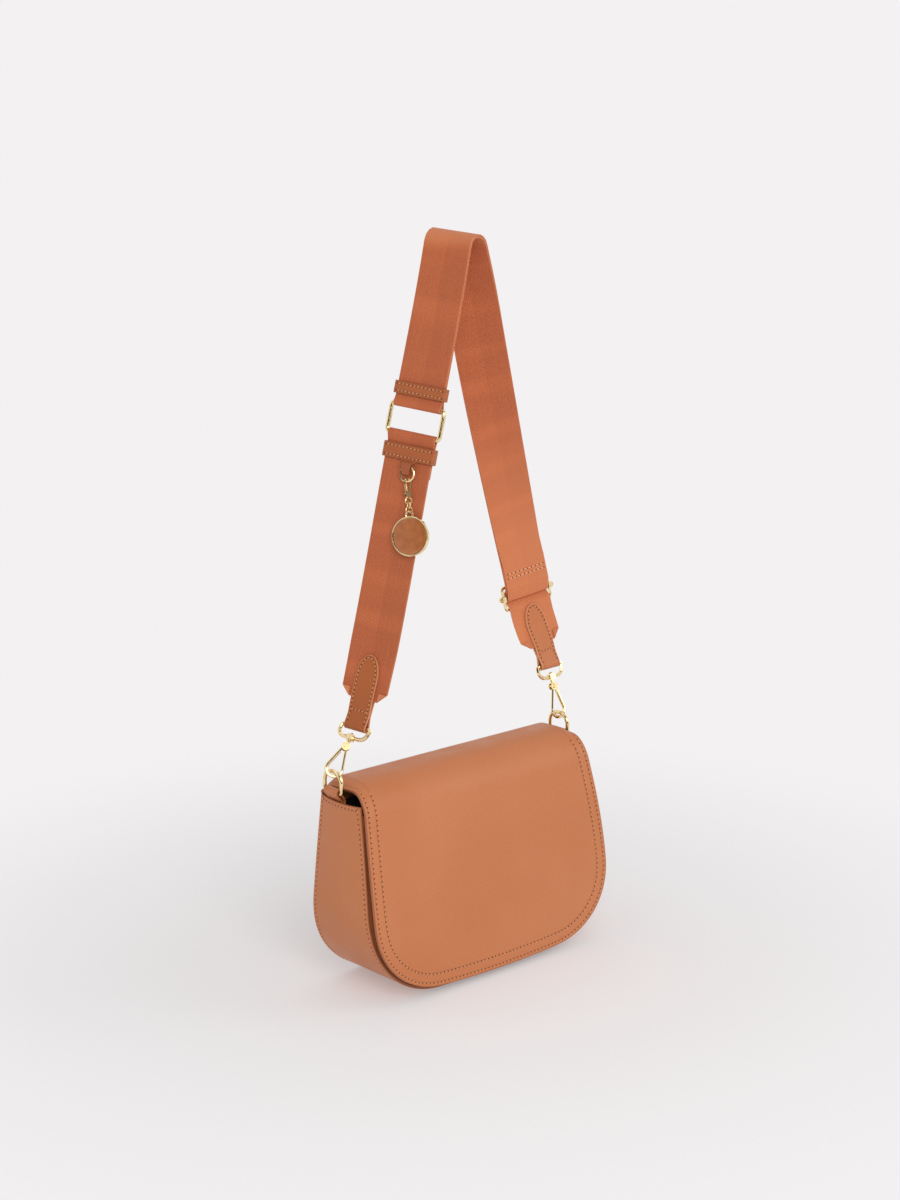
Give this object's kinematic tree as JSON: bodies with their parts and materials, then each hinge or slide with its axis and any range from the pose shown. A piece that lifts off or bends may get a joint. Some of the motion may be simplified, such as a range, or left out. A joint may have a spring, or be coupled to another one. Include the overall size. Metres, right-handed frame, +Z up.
{
  "type": "flap crossbody bag",
  "caption": "Small leather crossbody bag with a rounded front flap, D-rings, swivel hooks, an adjustable webbing strap and a round charm.",
  "frame": {"origin": "centre of the flat of the bag's base, where it stands", "axes": "+X to the right as seen from the front (the end with the slider), -Y out of the front flap, +Z up towards the strap's arch"},
  "size_m": [0.2448, 0.0946, 0.5393],
  "materials": {
    "leather": "fine pebble grain, satin, tan",
    "leather_flesh": "smooth split, matt, brown",
    "lining": "plain cotton twill, matt",
    "board": "grey board, matt",
    "webbing": "close twill webbing, matt, rust orange",
    "gold": "polished pale gold plating",
    "steel": "plain zinc plating",
    "enamel": "brown enamel, satin, bare"
  },
  "bodies": {
    "bag": {"gusset": "leather", "front_panel": "leather", "back_panel": "leather", "bag_lining": "lining", "slip_pocket": "lining", "base_board": "board", "flap_back": "leather", "flap_back_lining": "leather_flesh", "snap_socket": "gold", "snap_washer": "steel", "d_ring_loop_left": "leather", "d_ring_loop_right": "leather"},
    "front_flap": {"flap": "leather", "flap_lining": "leather_flesh", "snap_stud": "gold"},
    "left_d_ring": {"d_ring_left": "gold"},
    "right_d_ring": {"d_ring_right": "gold"},
    "strap": {"strap_long": "webbing", "strap_short": "webbing", "rect_link": "gold", "slider_frame": "gold", "slider_bar": "gold", "tab_left": "leather", "tab_right": "leather", "hook_eye_left": "gold", "hook_eye_right": "gold", "charm_keeper": "leather"},
    "sliding_keeper": {"band_keeper": "leather"},
    "left_hook": {"hook_left": "gold", "hook_rivet_left": "gold"},
    "left_gate": {"hook_gate_left": "gold"},
    "right_hook": {"hook_right": "gold", "hook_rivet_right": "gold"},
    "right_gate": {"hook_gate_right": "gold"},
    "charm_split_ring": {"charm_ring": "gold"},
    "charm_clip": {"charm_clasp": "gold"},
    "charm_clip_lever": {"charm_lever": "gold"},
    "charm_links": {"charm_link_upper": "gold", "charm_link_lower": "gold"},
    "charm_disc": {"charm_bezel": "gold", "charm_face_front": "enamel", "charm_face_back": "enamel"}
  },
  "joints": [
    {"name": "flap_fold", "type": "hinge", "parent": "bag", "child": "front_flap", "pos_m": [0, -0.006, 0.15871], "axis": [-1, 0, 0], "range_deg": [0, 150]},
    {"name": "strap_swing", "type": "hinge", "parent": "bag", "child": "strap", "pos_m": [0, 0.01, 0.1572], "axis": [-1, 0, 0], "range_deg": [-30, 55]},
    {"name": "d_ring_tilt_left", "type": "hinge", "parent": "bag", "child": "left_d_ring", "pos_m": [-0.112, 0.01, 0.1515], "axis": [0, -1, 0], "range_deg": [-2, 3]},
    {"name": "d_ring_tilt_right", "type": "hinge", "parent": "bag", "child": "right_d_ring", "pos_m": [0.112, 0.01, 0.1515], "axis": [0, 1, 0], "range_deg": [-4, 4]},
    {"name": "hook_swivel_left", "type": "hinge", "parent": "strap", "child": "left_hook", "pos_m": [-0.112, 0.01, 0.1665], "axis": [0.6825, 0.1154, 0.7218], "range_deg": [-3, 30]},
    {"name": "hook_swivel_right", "type": "hinge", "parent": "strap", "child": "right_hook", "pos_m": [0.112, 0.01, 0.1665], "axis": [0, 0.309, 0.9511], "range_deg": [-25, 25]},
    {"name": "hook_gate_left_open", "type": "hinge", "parent": "left_hook", "child": "left_gate", "pos_m": [-0.09808, 0.01235, 0.18122], "axis": [0.4465, 0.716, -0.5366], "range_deg": [0, 18], "stiffness_Nm_per_rad": 0.02, "springref_deg": -8.59},
    {"name": "hook_gate_right_open", "type": "hinge", "parent": "right_hook", "child": "right_gate", "pos_m": [0.112, 0.0163, 0.1859], "axis": [-0.0947, -0.9468, 0.3076], "range_deg": [0, 18], "stiffness_Nm_per_rad": 0.02, "springref_deg": -8.59},
    {"name": "keeper_slide", "type": "slide", "parent": "strap", "child": "sliding_keeper", "axis": [0.2347, -0.0261, 0.9717], "range_m": [0, 0.025]},
    {"name": "charm_ring_turn", "type": "hinge", "parent": "strap", "child": "charm_split_ring", "pos_m": [-0.04525, 0.00537, 0.37259], "axis": [-0.9163, -0.3517, 0.1916], "range_deg": [-30, 30]},
    {"name": "charm_clip_swing", "type": "hinge", "parent": "charm_split_ring", "child": "charm_clip", "pos_m": [-0.04591, 0.00424, 0.36735], "axis": [-0.3814, 0.9123, -0.1491], "range_deg": [0, 30]},
    {"name": "charm_lever_open", "type": "hinge", "parent": "charm_clip", "child": "charm_clip_lever", "pos_m": [-0.048, 0.00278, 0.35906], "axis": [0.2968, 0.925, -0.2374], "range_deg": [0, 20], "stiffness_Nm_per_rad": 0.002, "springref_deg": -5.73},
    {"name": "charm_link_swing", "type": "hinge", "parent": "charm_clip", "child": "charm_links", "pos_m": [-0.04783, 0.00093, 0.35207], "axis": [-0.3814, 0.9123, -0.1491], "range_deg": [0, 25]},
    {"name": "charm_disc_swing", "type": "hinge", "parent": "charm_links", "child": "charm_disc", "pos_m": [-0.04865, -0.00046, 0.34563], "axis": [-0.3814, 0.9123, -0.1491], "range_deg": [-2, 12]}
  ]
}
